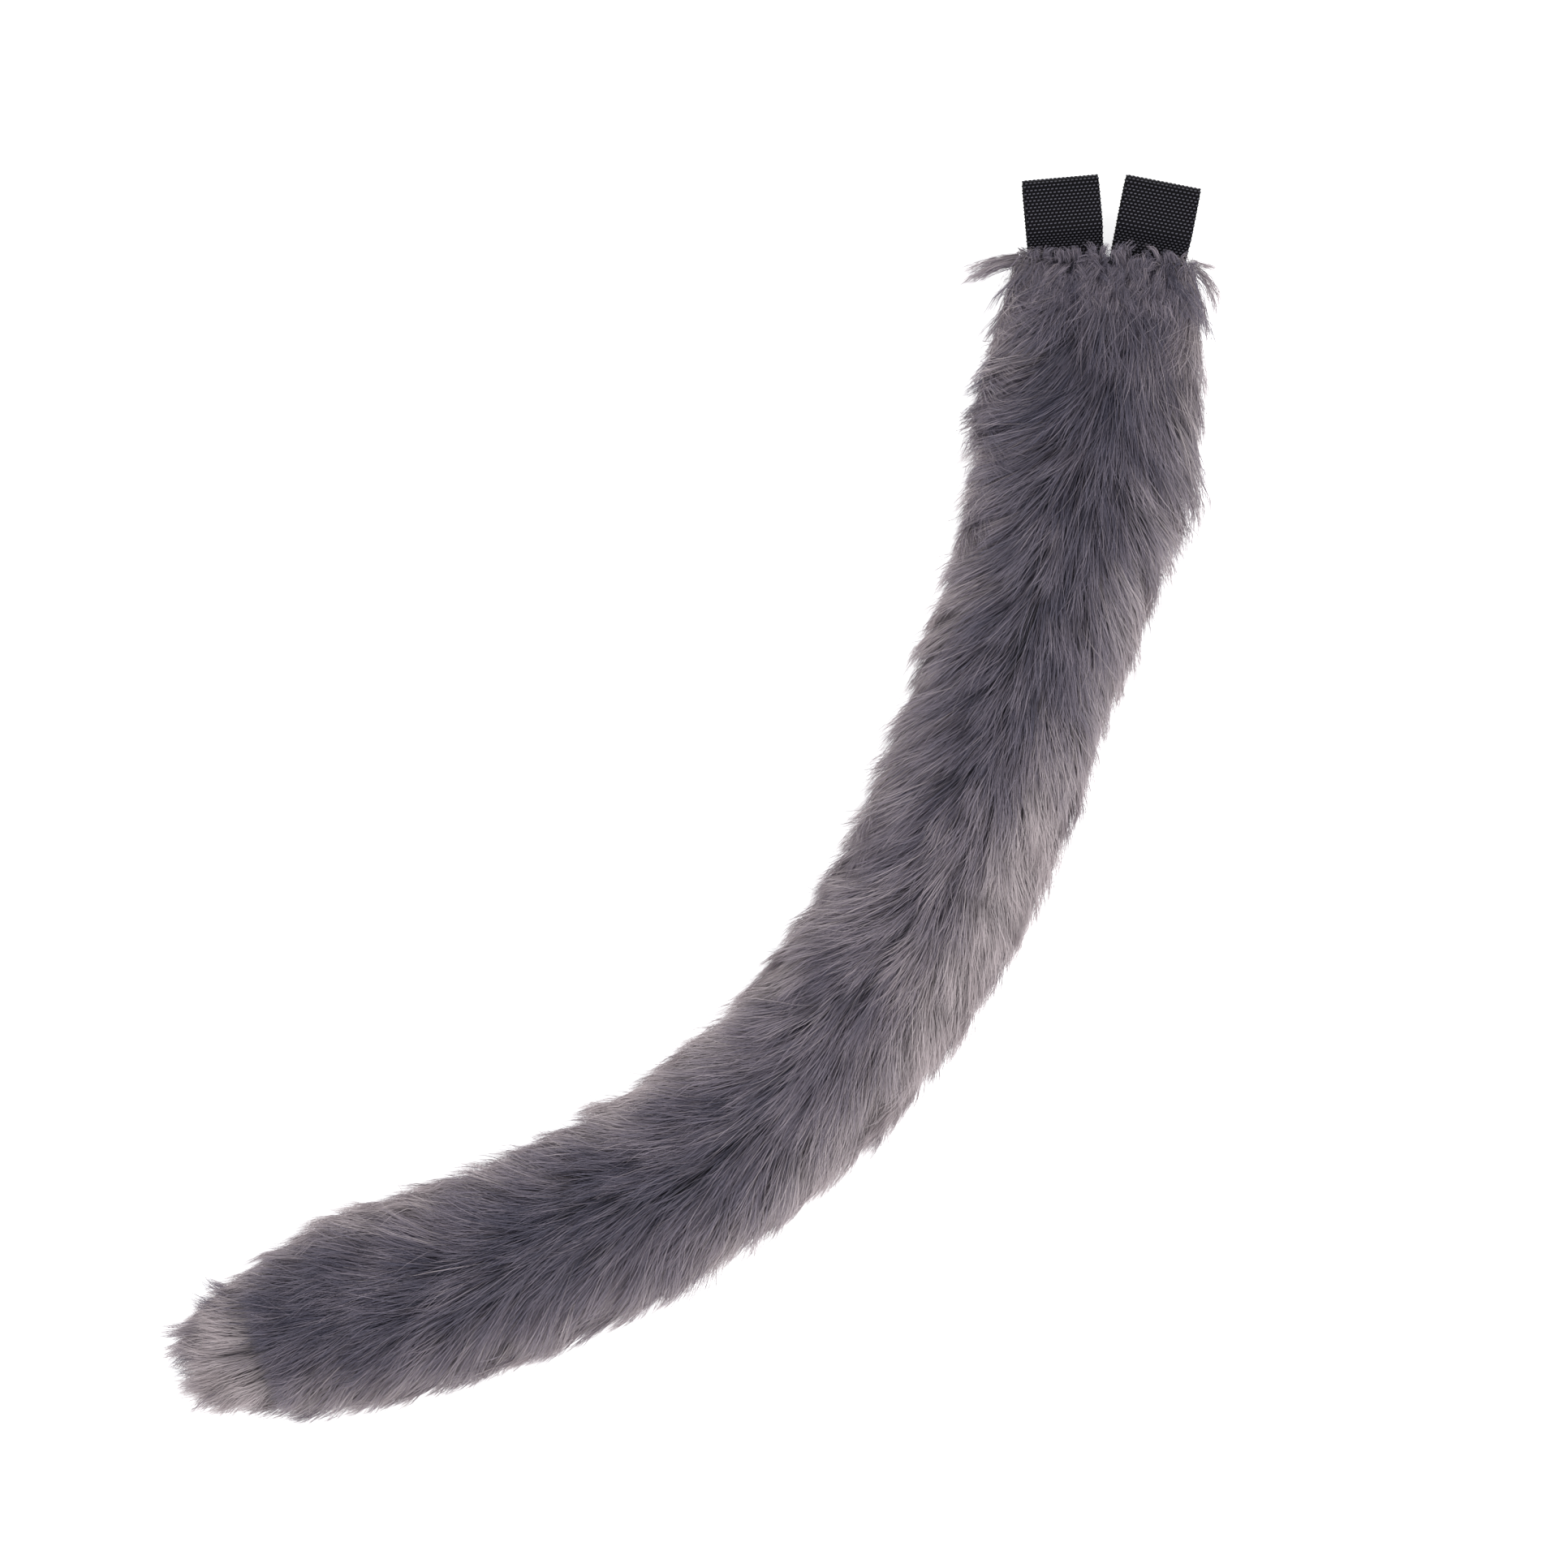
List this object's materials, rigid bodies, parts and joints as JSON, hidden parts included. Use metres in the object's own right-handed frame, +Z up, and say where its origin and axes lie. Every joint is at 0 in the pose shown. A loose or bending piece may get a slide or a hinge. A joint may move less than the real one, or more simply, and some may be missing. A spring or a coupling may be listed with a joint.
{
  "type": "costume animal tail",
  "caption": "Long plush animal tail in dark grey faux fur, lying in one sweeping curve, with webbing loops sewn into its top seam for a belt.",
  "frame": {"origin": "On the surface that the tail lies on, under the middle of its box.", "axes": "+Z is up. The belt loops point along +Y, and the tail runs down along -Y and round towards -X."},
  "size_m": [0.3548, 0.4136, 0.0506],
  "materials": {
    "fur": "matte",
    "webbing": "matte"
  },
  "bodies": {
    "root": {"fur_tail": "fur", "belt_loop_left": "webbing", "belt_loop_right": "webbing"}
  },
  "joints": []
}
